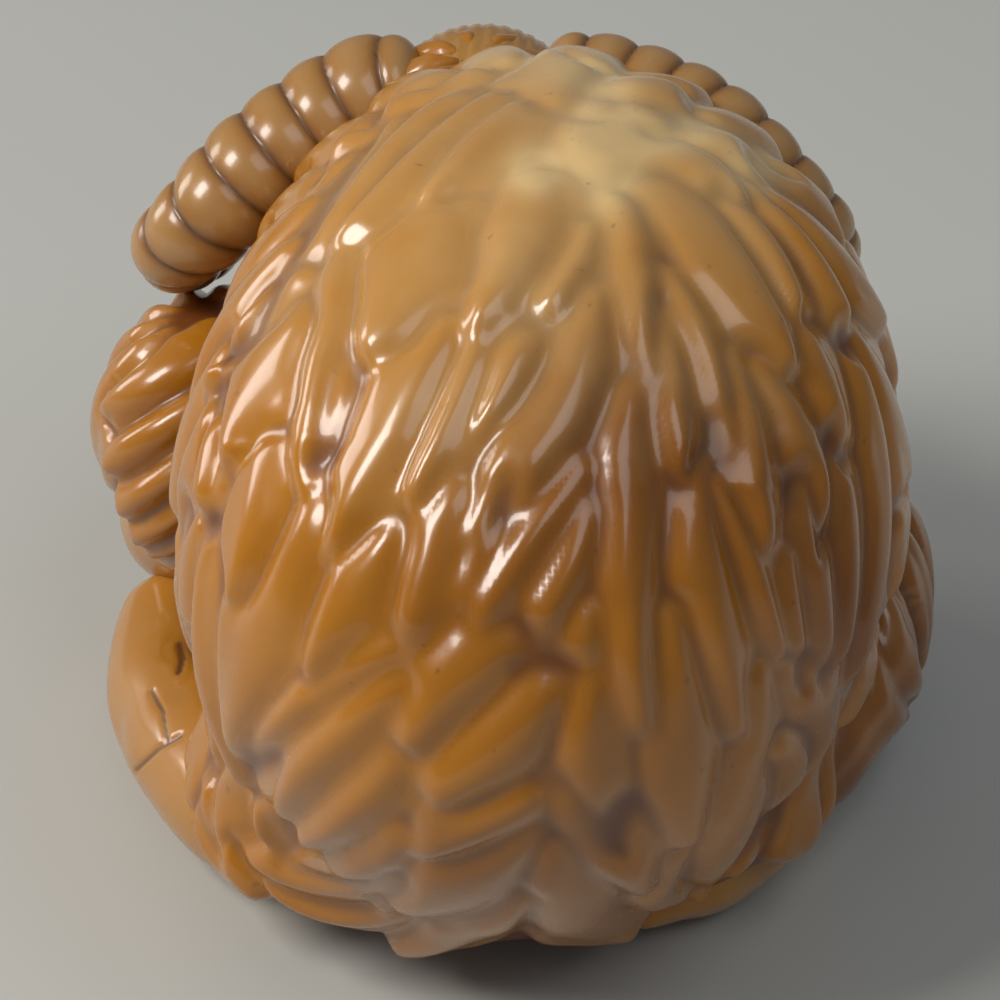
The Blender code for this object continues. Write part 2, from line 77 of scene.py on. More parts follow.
RING_START, RING_STEP, RINGS, RING_LEAST, RING_MORE = 14.0, 18.0, 6, 5, 29
UNDERCOAT_LENGTH, UNDERCOAT_WIDTH, UNDERCOAT_CLEAR = 8.4, 3.1, 2.3
UNDERCOAT_LEAN, PARTING_LEAN, PARTING_REACH = 8, 36, 30
LEAN_SPREAD, FALL_SPREAD, TIP_LEAN_SHARE = 5, 1.5, 0.6
RAY_START, RAY_END, HALVINGS, SLOPE_STEP = 0.5, 40.0, 22, 0.05
COAT_GRID, HEIGHT_EASING, GROOVE_EASING = 128, 4, 2
RELIEF_STRENGTH, RELIEF_HEIGHT, REFRACTION, COAT_ROUGHNESS = 0.25, 0.00004, 1.54, 0.1
GLOW_COLOURS, GLOW_DEPTH, VIEW_FADE = (1.0, 0.45, 0.12), 0.0012, 4
# The last of these is painted shade: the faces turned away from the camera are made darker by it.
PALE_FROM, PALE_OVER, PALE_SHARE, BASE_TOUCH, BASE_WEAR, FAR_SIDE_SHADE = 25, 9, 0.42, 0.05, 0.35, 0.25
CORD_HOLES, HOLE_RADIUS, HOLE_DEPTH, HOLE_EDGE = ((-2.0, -6.2), (-2.0, 2.6)), 1.7, 4.5, 0.35
VIEW_TURN, VIEW_RISE, VIEW_DISTANCE, PIXEL = np.radians(189.0), np.radians(34.0), 165.0, 0.0442
BACK = np.array([
    np.sin(VIEW_TURN) * np.cos(VIEW_RISE), -np.cos(VIEW_TURN) * np.cos(VIEW_RISE), np.sin(VIEW_RISE),
])
RIGHT = np.array([np.cos(VIEW_TURN), np.sin(VIEW_TURN), 0.0])
UP = np.cross(BACK, RIGHT)
AIM = -41 * PIXEL * RIGHT + 341 * PIXEL * UP - np.array([0.0, 0.0, 0.8])
EYE_POINT = AIM + VIEW_DISTANCE * BACK


def unit(vectors):
    """Each row divided by its length."""
    return vectors / np.maximum(np.linalg.norm(vectors, axis=-1, keepdims=True), 1e-9)


def cube_sphere(count):
    """Directions and faces of a sphere: on each side of a cube both parameters are tangents of even
    angles from -45 to 45 degrees, and each row is scaled to a length of one. Shared edges are merged."""
    line = np.tan(np.linspace(-1, 1, count + 1) * np.pi / 4)
    u, v = np.meshgrid(line, line, indexing="ij")
    one = np.ones_like(u)
    sides = ((one, u, v), (-one, v, u), (v, one, u), (u, -one, v), (u, v, one), (v, u, -one))
    grids = np.concatenate([np.stack(side, -1).reshape(-1, 3) for side in sides])
    row = count + 1
    corner = (np.arange(count)[:, None] * row + np.arange(count)).ravel()
    quads = np.stack([corner, corner + row, corner + row + 1, corner + 1], 1)
    quads = np.concatenate([quads + side * row * row for side in range(6)])
    rounded = np.round(grids, 6) + 0.0
    _, first, index = np.unique(rounded, axis=0, return_index=True, return_inverse=True)
    return unit(grids[first]), index.ravel()[quads]


def field(points, masses):
    """Signed distance to ellipsoids: k0 (k0 - 1) / k1, with k0 the length of the offset over the radii
    and k1 that over their squares. A smooth minimum blends them, and a smooth maximum ends them a
    little below the resting plane."""
    total = None
    for centre, radii, blend in masses:
        offset = points - np.array(centre)
        inner = np.linalg.norm(offset / radii, axis=1)
        outer = np.linalg.norm(offset / np.array(radii) ** 2, axis=1) + 1e-9
        distance = inner * (inner - 1) / outer
        if total is None:
            total = distance
        else:
            share = np.clip(0.5 + 0.5 * (distance - total) / blend, 0, 1)
            total = distance + (total - distance) * share - blend * share * (1 - share)
    under = -BASE_DEPTH - points[:, 2]
    share = np.clip(0.5 + 0.5 * (total - under) / BASE_ROUNDING, 0, 1)
    return total * share + under * (1 - share) + BASE_ROUNDING * share * (1 - share)


def mass_surface(directions, centre, masses):
    """The point where each ray from the centre leaves the masses, found by halving its length."""
    near, far = np.full(len(directions), RAY_START), np.full(len(directions), RAY_END)
    for _ in range(HALVINGS):
        middle = (near + far) / 2
        inside = field(centre + directions * middle[:, None], masses) < 0
        near, far = np.where(inside, middle, near), np.where(inside, far, middle)
    return centre + directions * near[:, None]


def outward(points, masses):
    """Unit normals: the difference of the field a small step to both sides along each axis."""
    steps = np.eye(3) * SLOPE_STEP
    slopes = [field(points + step, masses) - field(points - step, masses) for step in steps]
    return unit(np.stack(slopes, -1))


def courses(locks, centre, masses):
    """Each lock's course: from its root, steps down the surface that turn from the lean at the root to
    the lean at the tip."""
    bearing, fall = np.radians(locks[:, 0]), np.radians(locks[:, 1])
    level = np.sin(fall)
    toward = np.stack([level * np.sin(bearing), level * np.cos(bearing), np.cos(fall)], -1)
    places = []
    for step in range(LOCK_STEPS + 1):
        points = mass_surface(toward, centre, masses)
        places.append(points)
        east = unit(np.stack([toward[:, 1], -toward[:, 0], 0 * toward[:, 0]], -1))
        down = np.cross(toward, east)
        down = down * -np.sign(down[:, 2:3])
        lean = np.radians(locks[:, 2] + (locks[:, 3] - locks[:, 2]) * step / LOCK_STEPS)[:, None]
        stride = locks[:, 4] / LOCK_STEPS / np.linalg.norm(points - centre, axis=1)
        toward = unit(toward + (np.cos(lean) * down + np.sin(lean) * east) * stride[:, None])
    return np.stack(places, 1)


def carving(points, normals, locks, paths):
    """Height of the locks and openness of their grooves. A point belongs to the lock whose course is
    nearest for its width; the height falls to nothing where two locks are equally near, grows from
    root to tip, is domed across, is greater on one side, and has fine strands along it."""
    first = np.full(len(points), 3 * LOCK_REACH)
    second, crest = first.copy(), np.zeros(len(points))
    for lock, path in zip(locks, paths):
        half_width = lock[5] / 2
        reach = lock[4] / 2 + LOCK_REACH * half_width
        near = np.nonzero(((points - path[LOCK_STEPS // 2]) ** 2).sum(1) < reach**2)[0]
        if not len(near):
            continue
        starts, steps = path[:-1], np.diff(path, axis=0)
        offset = points[near, None] - starts
        share = np.clip((offset * steps).sum(2) / (steps**2).sum(1), 0, 1)
        offset = offset - share[..., None] * steps
        offset -= (offset * normals[near, None]).sum(2)[..., None] * normals[near, None]
        distance = np.linalg.norm(offset, axis=2)
        closest = distance.argmin(1)
        row = np.arange(len(near))
        along = (closest + share[row, closest]) / LOCK_STEPS
        swell = np.minimum(1, LOCK_ROOT_WIDTH + 1.5 * along) * np.sqrt(1 - along**2.5)
        across = distance[row, closest] / half_width / np.maximum(swell, LOCK_TIP_WIDTH)
        side = np.sign((np.cross(normals[near], steps[closest]) * offset[row, closest]).sum(1))
        height = lock[6] * (LOCK_ROOT_SHARE + (1 - LOCK_ROOT_SHARE) * along)
        height *= 1 - LOCK_TILT * np.clip(side * across, -1, 1) - LOCK_DOME * np.minimum(across, 1) ** 2
        height += STRAND_DEPTH * np.cos(STRAND_WAVES * side * across + lock[0]) * (1 - along)
        closer = across < first[near]
        mine, others = near[closer], near[~closer]
        second[mine], first[mine], crest[mine] = first[mine], across[closer], height[closer]
        second[others] = np.minimum(second[others], across[~closer])
    groove = np.clip((second - first) / GROOVE_SHARE, 0, 1)
    fade = np.clip(LOCK_REACH - first, 0, 1)
    from_worn = np.linalg.norm(points - np.array(WORN_TOP), axis=1)
    worn = 1 - WORN_SHARE * np.exp(-((from_worn / WORN_RADIUS) ** 2))
    open_part = (1 - (1 - groove) ** 2) * fade
    return crest * open_part * worn, open_part


def lock_table(rows, rise=LOCK_RISE):
    """Rows of bearing, fall, lean at the root and at the tip (degrees), length and width (mm), with
    the rise added."""
    rows = np.array(rows, float)
    return np.column_stack([rows, np.full(len(rows), rise)])


def undercoat(named):
    """Rings of locks all round that lean away from the parting, where no named lock lies."""
    rows = []
    falls, bearings = np.array(PARTING).T
    draw = np.random.default_rng(7)
    for ring in range(RINGS):
        fall = RING_START + RING_STEP * ring
        parting = np.interp(fall, falls, bearings)
        count = int(RING_LEAST + RING_MORE * np.sin(np.radians(fall)))
        for place in range(count):
            away = (place + 0.5 * (ring % 2)) / count * 360 - 180
            lean = UNDERCOAT_LEAN + PARTING_LEAN * np.exp(-abs(away) / PARTING_REACH)
            lean = lean * (1 if away > 0 else -1)
            lean = lean * (1 - (abs(away) / 180) ** 3) + draw.normal(0, LEAN_SPREAD)
            start = fall + draw.normal(0, FALL_SPREAD)
            size = (UNDERCOAT_LENGTH, UNDERCOAT_WIDTH)
            rows.append((parting + away, start, lean, lean * TIP_LEAN_SHARE, *size))
    locks = lock_table(rows, UNDERCOAT_RISE)
    middles = courses(locks, np.array(COAT_CENTRE), COAT)[:, LOCK_STEPS // 2]
    clearance = np.linalg.norm(middles[:, None] - named.reshape(-1, 3), axis=2).min(1)
    return locks[clearance > UNDERCOAT_CLEAR]


def eased(values, faces, times):
    """Each value becomes the mean of the means of the faces around it, as many times over."""
    shared = np.bincount(faces.ravel(), minlength=len(values))
    for _ in range(times):
        means = np.repeat(values[faces].mean(1), 4)
        values = np.bincount(faces.ravel(), means, len(values)) / shared
    return values


def hairy(masses, centre, locks, count, paths=None):
    """A sphere of directions pushed out to the masses, plus the eased height of the locks along the
    normal."""
    directions, faces = cube_sphere(count)
    centre = np.array(centre)
    if paths is None:
        paths = courses(locks, centre, masses)
    points = mass_surface(directions, centre, masses)
    normals = outward(points, masses)
    height, groove = carving(points, normals, locks, paths)
    height, groove = eased(height, faces, HEIGHT_EASING), eased(groove, faces, GROOVE_EASING)
    return points + normals * (height - LOCK_SUNK)[:, None], normals, faces, groove


def in_picture(points):
    """Where a point lies in the view from behind and above: its offsets across and up over its depth,
    times the focal length in pixels."""
    offset = points - EYE_POINT
    focal = VIEW_DISTANCE / PIXEL / -(offset @ BACK)
    return 500 + focal * (offset @ RIGHT), 500 - focal * (offset @ UP)


def spots(points, normals, places):
    """Sum of round spots, exp(-(dx/rx)^2 - (dy/ry)^2) times their strength, on what faces the view."""
    x, y = in_picture(points)
    total = np.zeros(len(points))
    for px, py, rx, ry, strength in places:
        total += strength * np.exp(-(((x - px) / rx) ** 2) - ((y - py) / ry) ** 2)
    return total * np.clip(normals @ BACK * VIEW_FADE, 0, 1)


def add(tree, kind, inputs, **settings):
    """A node with its settings, and with each input a value or another node's output."""
    node = tree.nodes.new(kind)
    for key, value in settings.items():
        setattr(node, key, value)
    for place, value in inputs.items():
        if isinstance(value, bpy.types.NodeSocket):
            tree.links.new(value, node.inputs[place])
        else:
            node.inputs[place].default_value = value
    return node


def stain_and_shade_group():
    """Stain, wear and painted shade: the groove colour gives way to the top colour as the groove opens,
    clouds vary it, painted shade darkens it, and wear lays the pale colour over it. Fine noise makes
    specks and height."""
    tree = bpy.data.node_groups.new("stain wear and painted shade", "ShaderNodeTree")
    colours, masks = ("Top", "Deep", "Pale"), ("Groove", "Worn", "Tone")
    tree.interface.new_socket("Place", in_out="INPUT", socket_type="NodeSocketVector")
    for label in colours:
        tree.interface.new_socket(label, in_out="INPUT", socket_type="NodeSocketColor")
    for label in masks:
        tree.interface.new_socket(label, in_out="INPUT", socket_type="NodeSocketFloat")
    tree.interface.new_socket("Colour", in_out="OUTPUT", socket_type="NodeSocketColor")
    tree.interface.new_socket("Roughness", in_out="OUTPUT", socket_type="NodeSocketFloat")
    tree.interface.new_socket("Height", in_out="OUTPUT", socket_type="NodeSocketFloat")
    given = add(tree, "NodeGroupInput", {}).outputs
    place = given["Place"]
    clouds = add(tree, "ShaderNodeTexNoise", {"Vector": place, "Scale": 210.0, "Detail": 3.0}).outputs[0]
    fine = add(tree, "ShaderNodeTexNoise", {"Vector": place, "Scale": 1500.0, "Detail": 3.0}).outputs[0]
    drift = add(tree, "ShaderNodeMath", {0: clouds, 1: 0.5, 2: -0.25}, operation="MULTIPLY_ADD").outputs[0]
    open_part = add(tree, "ShaderNodeMath", {0: given["Groove"], 1: drift}, operation="ADD").outputs[0]
    ramp = {"Value": open_part, "From Min": 0.05, "From Max": 0.75}
    mask = add(tree, "ShaderNodeMapRange", ramp, interpolation_type="SMOOTHSTEP").outputs[0]
    base = add(tree, "ShaderNodeMix", {0: mask, 6: given["Deep"], 7: given["Top"]}, data_type="RGBA")
    cloud = {"Value": clouds, "From Min": 0.35, "From Max": 0.7, "To Max": 0.25}
    cloudy = add(tree, "ShaderNodeMapRange", cloud).outputs[0]
    dull = {0: cloudy, 6: base.outputs[2], 7: (0.62, 0.5, 0.4, 1.0)}
    varied = add(tree, "ShaderNodeMix", dull, data_type="RGBA", blend_type="MULTIPLY").outputs[2]
    # Painted shade: the colour is multiplied by a dark brown as far as the third mask asks.
    shading = {0: given["Tone"], 6: varied, 7: (0.45, 0.34, 0.2, 1.0)}
    shaded = add(tree, "ShaderNodeMix", shading, data_type="RGBA", blend_type="MULTIPLY").outputs[2]
    rubbed = add(tree, "ShaderNodeMath", {0: given["Worn"], 1: drift}, operation="ADD").outputs[0]
    wear = add(tree, "ShaderNodeMapRange", {"Value": rubbed, "From Min": 0.1, "From Max": 0.95}).outputs[0]
    pale = add(tree, "ShaderNodeMix", {0: wear, 6: shaded, 7: given["Pale"]}, data_type="RGBA").outputs[2]
    speck = {"Value": fine, "From Min": 0.7, "From Max": 0.76, "To Max": 0.4}
    specks = add(tree, "ShaderNodeMapRange", speck).outputs[0]
    dark = {0: specks, 6: pale, 7: (0.3, 0.24, 0.2, 1.0)}
    colour = add(tree, "ShaderNodeMix", dark, data_type="RGBA", blend_type="MULTIPLY").outputs[2]
    dry = {"Value": mask, "To Min": 0.5, "To Max": 0.27}
    rough = add(tree, "ShaderNodeMapRange", dry).outputs[0]
    height = add(tree, "ShaderNodeMath", {0: fine, 1: clouds}, operation="ADD").outputs[0]
    add(tree, "NodeGroupOutput", {"Colour": colour, "Roughness": rough, "Height": height})
    return tree


STAIN_AND_SHADE = stain_and_shade_group()


def finish(name, top, deep, pale, coat=0.5, subsurface=0.25):
    """A polished, slightly translucent material with the stain laid in its grooves and painted shade laid
    over it by its third attribute.
    """
    made = bpy.data.materials.new(name)
    made.use_nodes = True
    tree = made.node_tree
    shader = tree.nodes["Principled BSDF"]
    values = {"Place": add(tree, "ShaderNodeTexCoord", {}).outputs["Object"]}
    values.update({"Top": (*top, 1.0), "Deep": (*deep, 1.0), "Pale": (*pale, 1.0)})
    for label in ("Groove", "Worn", "Tone"):
        values[label] = add(tree, "ShaderNodeAttribute", {}, attribute_name=label.lower()).outputs[2]
    stain = add(tree, "ShaderNodeGroup", values, node_tree=STAIN_AND_SHADE).outputs
    relief = {"Strength": RELIEF_STRENGTH, "Distance": RELIEF_HEIGHT, "Height": stain["Height"]}
    bump = add(tree, "ShaderNodeBump", relief)
    tree.links.new(stain["Colour"], shader.inputs["Base Color"])
    tree.links.new(stain["Roughness"], shader.inputs["Roughness"])
    tree.links.new(bump.outputs[0], shader.inputs["Normal"])
    shader.inputs["IOR"].default_value = REFRACTION
    shader.inputs["Coat Weight"].default_value = coat
    shader.inputs["Coat Roughness"].default_value = COAT_ROUGHNESS
    shader.inputs["Subsurface Weight"].default_value = subsurface
    shader.inputs["Subsurface Radius"].default_value = GLOW_COLOURS
    shader.inputs["Subsurface Scale"].default_value = GLOW_DEPTH
    return made


def piece(name, points, faces, material, groove, worn, tone):
    """A mesh object of the points, moved to the carving's own origin and made flat where it rests."""
    placed = (points - ORIGIN) * MM
    placed[:, 2] = np.maximum(placed[:, 2], 0)
    mesh = bpy.data.meshes.new(name)
    mesh.from_pydata(placed.tolist(), [], faces if isinstance(faces, list) else faces.tolist())
    mesh.shade_smooth()
    # groove and worn hold stain and wear; the third attribute is painted shade.
    for label, values in (("groove", groove), ("worn", worn), ("tone", tone)):
        layer = mesh.attributes.new(label, "FLOAT", "POINT")
        layer.data.foreach_set("value", np.broadcast_to(values, len(points)).astype(np.float32))
    mesh.materials.append(material)
    made = bpy.data.objects.new(name, mesh)
    bpy.context.scene.collection.objects.link(made)
    return made


beside_parting = (
    (-13, 11, 13, 21, 8.1, 2.8), (-28, 18, 28, 47, 6.7, 1.6), (-23, 27, 15, 53, 12.3, 1.9),
    (-16, 47, 41, 24, 7.7, 1.6), (-16, 51, 19, 44, 7.1, 1.8), (-13, 68, 37, 53, 7.9, 2.6),
    (-10, 81, 49, 58, 6.6, 2.4), (-8, 89, 46, 31, 12.1, 3.6), (-8, 100, 17, 47, 13.4, 2.0),
)
second_column = (
    (29, 19, -15, -3, 6.6, 4.2), (10, 32, 6, 20, 10.1, 2.2), (2, 34, 10, 15, 6.7, 1.6),
    (-9, 30, 19, 26, 5.3, 1.5), (-6, 49, 30, 10, 4.9, 0.9), (2, 51, 11, 12, 6.3, 1.9),
    (-8, 64, 59, 14, 7.5, 2.0),
)
left_flank = (
    (50, 28, -51, -7, 10.6, 2.0), (29, 38, -28, 8, 5.2, 1.2), (10, 57, 25, 17, 6.7, 2.4),
    (6, 66, 54, 13, 19.2, 1.4), (6, 71, 43, 24, 11.8, 1.5), (5, 78, 31, 40, 10.8, 1.3),
    (6, 91, 26, 68, 12.2, 2.0), (8, 99, 23, 105, 13.7, 2.6), (11, 112, 12, 147, 10.2, 1.5),
)
left_edge = (
    (61, 33, 19, -31, 5.4, 2.8), (44, 38, 14, -33, 5.9, 3.5), (35, 52, -26, 15, 6.3, 2.3),
    (21, 57, 15, 19, 16.2, 3.0), (58, 52, -54, -21, 6.0, 2.0), (45, 64, -8, -14, 15.7, 2.0),
    (81, 81, -31, -47, 14.2, 1.7), (44, 108, 31, -72, 6.3, 3.1),
)
right_of_parting = (
    (-49, 16, 28, 10, 9.4, 1.9), (-37, 30, 21, -1, 7.8, 1.8), (-44, 25, 1, 18, 9.0, 1.5),
    (-25, 40, 18, -13, 13.4, 2.4), (-32, 50, 11, -24, 11.3, 2.7), (-37, 76, 4, -17, 17.0, 3.1),
)
right_back = (
    (-152, 18, 114, 14, 7.9, 4.8), (-77, 18, 24, 13, 8.7, 3.6), (-48, 39, 22, 7, 7.6, 2.3),
    (-35, 51, -11, -15, 8.1, 1.5), (-52, 41, -21, 37, 7.9, 2.4), (-90, 24, 33, 42, 6.4, 2.7),
    (-105, 27, 31, 35, 8.4, 2.4), (-71, 40, 20, 20, 5.8, 2.4),
)
right_flank = (
    (-116, 56, 38, 57, 20.6, 2.3), (-85, 46, 20, 47, 14.8, 2.1), (-64, 52, 14, 28, 10.3, 2.0),
    (-52, 55, 10, -4, 9.0, 2.2), (-45, 62, 14, -28, 6.4, 1.6),
)
rump_leaves = (
    (-15, 62, 13, -35, 12.3, 2.4), (-25, 64, -5, -4, 11.6, 2.6), (-10, 80, -36, -20, 10.5, 2.2),
    (-10, 90, -6, -35, 16.4, 2.8), (-28, 97, 19, -86, 12.3, 2.0), (-43, 76, -46, 45, 16.0, 2.9),
    (-41, 88, -53, 49, 13.5, 2.5),
)
mane_locks = (
    (129, 25, -117, 46, 17.3, 2.1), (138, 19, -106, -7, 11.8, 4.1), (150, 15, -125, 5, 11.2, 3.0),
    (160, 10, -143, 19, 8.5, 2.5), (155, 28, -81, -72, 8.6, 2.9),
)
named_locks = lock_table(
    beside_parting + second_column + left_flank + left_edge + right_of_parting + right_back
    + right_flank + rump_leaves + mane_locks
)
named_courses = courses(named_locks, np.array(COAT_CENTRE), COAT)
coat_locks = np.vstack([named_locks, undercoat(named_courses)])
amber = finish("stained coat", (0.45, 0.175, 0.004), (0.17, 0.045, 0.002), (0.72, 0.5, 0.22))
PALE_SPOTS = (
    (535, 170, 26, 22, 1.0), (605, 150, 34, 62, 1.1), (670, 135, 55, 20, 0.8), (755, 165, 36, 26, 0.6),
    (480, 40, 60, 30, 0.4), (590, 60, 70, 30, 0.5),
)
# Painted shade: darker patches on the bottom, the right flank and the middle of the back, where the coat
# is in shade.
SHADE_SPOTS = ((610, 430, 130, 150, 0.8), (780, 520, 110, 160, 0.45), (480, 600, 130, 120, 0.45),
              (870, 640, 60, 130, 0.8), (680, 760, 160, 90, 0.4), (500, 890, 190, 70, 0.6))
coat_points, coat_normals, coat_faces, coat_groove = hairy(COAT, COAT_CENTRE, coat_locks, COAT_GRID)
coat_points[:, 2] = np.maximum(coat_points[:, 2], 0)
for hole in CORD_HOLES:
    from_hole = np.linalg.norm(coat_points[:, :2] - np.array(hole), axis=1)
    lift = np.clip((HOLE_RADIUS - from_hole) / HOLE_EDGE, 0, 1) * (coat_points[:, 2] < 1)
    coat_points[:, 2] += HOLE_DEPTH * lift
    coat_groove = coat_groove * (1 - lift)
high = np.clip((coat_points[:, 2] - PALE_FROM) / PALE_OVER, 0, 1) * PALE_SHARE
rests = coat_points[:, 2] < BASE_TOUCH
coat_worn = high + spots(coat_points, coat_normals, PALE_SPOTS) + BASE_WEAR * rests
# Painted shade on the coat: the dark patches plus a darker far side.
coat_shade = spots(coat_points, coat_normals, SHADE_SPOTS) + FAR_SIDE_SHADE * (coat_normals @ BACK < 0)
coat = piece("coat", coat_points, coat_faces, amber, coat_groove, coat_worn, np.clip(coat_shade, 0, 1))
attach(coat, ROOT)
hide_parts("goat")

# The tufts. The hair of the left shoulder, the fringe along the right flank, the hair of the poll
# and the beard stand out from the coat as masses of their own, carved in the same piece.
SHOULDER_HAIR = (((16.6, -9.9, 13.0), (5.0, 6.6, 6.3), 0.0),)
FRONT_FRINGE = ((-13.5, -9.7, 6.6), (2.5, 6.8, 4.8), 0.0)
REAR_FRINGE = ((-11.7, -2.9, 5.4), (3.1, 6.0, 3.5), 3.0)
BELLY_FRINGE = (FRONT_FRINGE, REAR_FRINGE)
POLL_HAIR = (((5.4, -15.6, 25.8), (4.6, 5.2, 4.2), 0.0),)
BEARD = (((6.4, -21.9, 12.3), (2.9, 3.3, 6.2), 0.0),)
TUFT_GRID, TUFT_WEAR = 60, 0.12
FRINGE_LOBES, FRINGE_LENGTH, FRINGE_WIDTH = 10, 8.5, 2.1
FRINGE_FRONT, FRINGE_REAR, FRINGE_DROP = (-14.2, -16.0, 10.5), (-12.4, 2.6, 7.8), (-3.2, 0.6, -7.5)


def fan(count, first, last, fall, leans, length, width):
    """Locks side by side: their bearings are evenly spaced from the first to the last."""
    return [(b, fall, leans[0], leans[1], length, width) for b in np.linspace(first, last, count)]


shoulder_rows = [(-36 + 2 * row, 20 + 17 * row, 62 - 3 * row, 46 - 3 * row, 8.5, 2.5) for row in range(6)]
share = np.linspace(0, 1, FRINGE_LOBES)[:, None]
roots = np.array(FRINGE_FRONT) * (1 - share) + np.array(FRINGE_REAR) * share
tips = roots + np.array(FRINGE_DROP)
fringe_centre = np.array(FRONT_FRINGE[0])
reach = np.linspace(0, 1, LOCK_STEPS + 1)[:, None]
drapes = [unit((root - fringe_centre) * (1 - reach) + (tip - fringe_centre) * reach)
          for root, tip in zip(roots, tips)]
fringe_courses = np.array([mass_surface(drape, fringe_centre, BELLY_FRINGE) for drape in drapes])
fringe_rows = [(0, 0, 0, 0, FRINGE_LENGTH, FRINGE_WIDTH)] * FRINGE_LOBES
# The last value of each tuft is painted shade, greatest on the fringe along the right flank.
tufts = (
    ("shoulder_hair", SHOULDER_HAIR, shoulder_rows + fan(5, 60, 180, 35, (20, 10), 9.0, 3.2), None, 0.15),
    ("flank_fringe", BELLY_FRINGE, fringe_rows, fringe_courses, 0.7),
    ("poll_hair", POLL_HAIR, fan(9, -160, 160, 30, (0, 0), 5.5, 2.8), None, 0.2),
    ("beard", BEARD, fan(7, 70, 290, 60, (0, 0), 10.0, 2.6), None, 0.3),
)
for name, masses, rows, paths, tone in tufts:
    points, normals, faces, groove = hairy(masses, masses[0][0], lock_table(rows), TUFT_GRID, paths)
    tuft = piece(name, points, faces, amber, groove, TUFT_WEAR * groove, tone)
    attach(tuft, ROOT)
    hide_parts("goat")

# The horns. Two ribbed horns sweep out from the poll and curl forward beside the cheeks. They are
# carved in the same piece; the ribs run round them on a slant and the horns are greyer than the coat.
LEFT_HORN = (
    (7.4, -16.6, 27.2, 2.7), (10.1, -15.8, 27.0, 2.7), (12.6, -14.3, 25.9, 2.6), (14.8, -12.4, 24.6, 2.5),
    (16.6, -11.0, 23.0, 2.2), (18.1, -11.4, 21.3, 1.9), (17.9, -13.8, 19.7, 1.6), (16.2, -16.4, 19.2, 1.1),
)
RIGHT_HORN = (
    (3.2, -17.0, 27.2, 2.7), (0.4, -17.4, 27.1, 2.7), (-2.4, -17.3, 26.6, 2.6), (-5.0, -16.7, 25.7, 2.5),
    (-7.5, -16.0, 24.0, 2.2), (-9.6, -16.4, 21.4, 1.9), (-9.6, -18.0, 18.8, 1.6), (-8.0, -20.2, 18.0, 1.1),
)
HORN_RIBS, HORN_RIB_DEPTH, HORN_SLANT, CAP_SHARE = 11, 0.12, 0.03, 0.12


def spline(stations, shares):
    """Catmull-Rom: the cubic through the stations whose slope at each is half the step past it."""
    stations = np.array(stations, float)
    ends = np.vstack([2 * stations[0] - stations[1], stations, 2 * stations[-1] - stations[-2]])
    place = np.clip(shares, 0, 1) * (len(stations) - 1)
    knot = np.minimum(place.astype(int), len(stations) - 2)
    t = (place - knot)[:, None]
    before, start, end, after = (ends[knot + i] for i in range(4))
    return 0.5 * (
        2 * start + (end - before) * t + (2 * before - 5 * start + 4 * end - after) * t**2
        + (3 * start - before - 3 * end + after) * t**3
    )


def limb(stations, rings=120, segments=48, flatness=1.0, level=(0.12, 0.1, 1.0)):
    """A profile carried along a course: radius times (side cos turn + rise sin turn), with half circles
    for its ends and one point at each pole. Gives points, outward vectors, faces, shares and turns."""
    angle = np.linspace(0, np.pi, rings + 1)[1:-1]
    share, turn = np.meshgrid(angle / np.pi, np.arange(segments) * 2 * np.pi / segments, indexing="ij")
    share = np.concatenate([[0.0], share.ravel(), [1.0]])
    turn = np.concatenate([[0.0], turn.ravel(), [0.0]])
    course = spline(stations, share)
    ahead, behind = spline(stations, share + 0.01), spline(stations, share - 0.01)
    tangent = unit((ahead - behind)[:, :3])
    side = unit(np.cross(tangent, level))
    rise = np.cross(tangent, side)
    from_end = np.clip(np.minimum(share, 1 - share) / CAP_SHARE, 0, 1)
    radius = course[:, 3] * np.sqrt(1 - (1 - from_end) ** 2)
    out = side * np.cos(turn)[:, None] + rise * (flatness * np.sin(turn))[:, None]
    start = 1 + np.arange((rings - 2) * segments).reshape(rings - 2, segments)
    beside = np.roll(start, -1, axis=1)
    quads = np.stack([start, beside, beside + segments, start + segments], -1).reshape(-1, 4).tolist()
    first, last = 1 + np.arange(segments), 1 + (rings - 2) * segments + np.arange(segments)
    end = len(share) - 1
    caps = np.stack([np.zeros(segments, int), np.roll(first, -1), first], 1).tolist()
    caps += np.stack([np.full(segments, end), last, np.roll(last, -1)], 1).tolist()
    return course[:, :3], out, radius, quads + caps, share, turn


horn_grey = finish("horn", (0.4, 0.2, 0.05), (0.14, 0.055, 0.012), (0.55, 0.38, 0.18), coat=0.4)
for name, stations in (("left_horn", LEFT_HORN), ("right_horn", RIGHT_HORN)):
    middle, out, radius, faces, share, turn = limb(stations, 240, 72)
    ridge = np.sqrt(np.abs(np.sin(np.pi * HORN_RIBS * (share + HORN_SLANT * np.sin(turn + 0.8)))))
    radius = radius * (1.03 - HORN_RIB_DEPTH + HORN_RIB_DEPTH * 1.15 * ridge)
    points = middle + out * radius[:, None]
    # The last value is a little painted shade.
    horn = piece(name, points, faces, horn_grey, ridge * 0.9, 0.3 * ridge**3, 0.1)
    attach(horn, ROOT)
    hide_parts("goat")

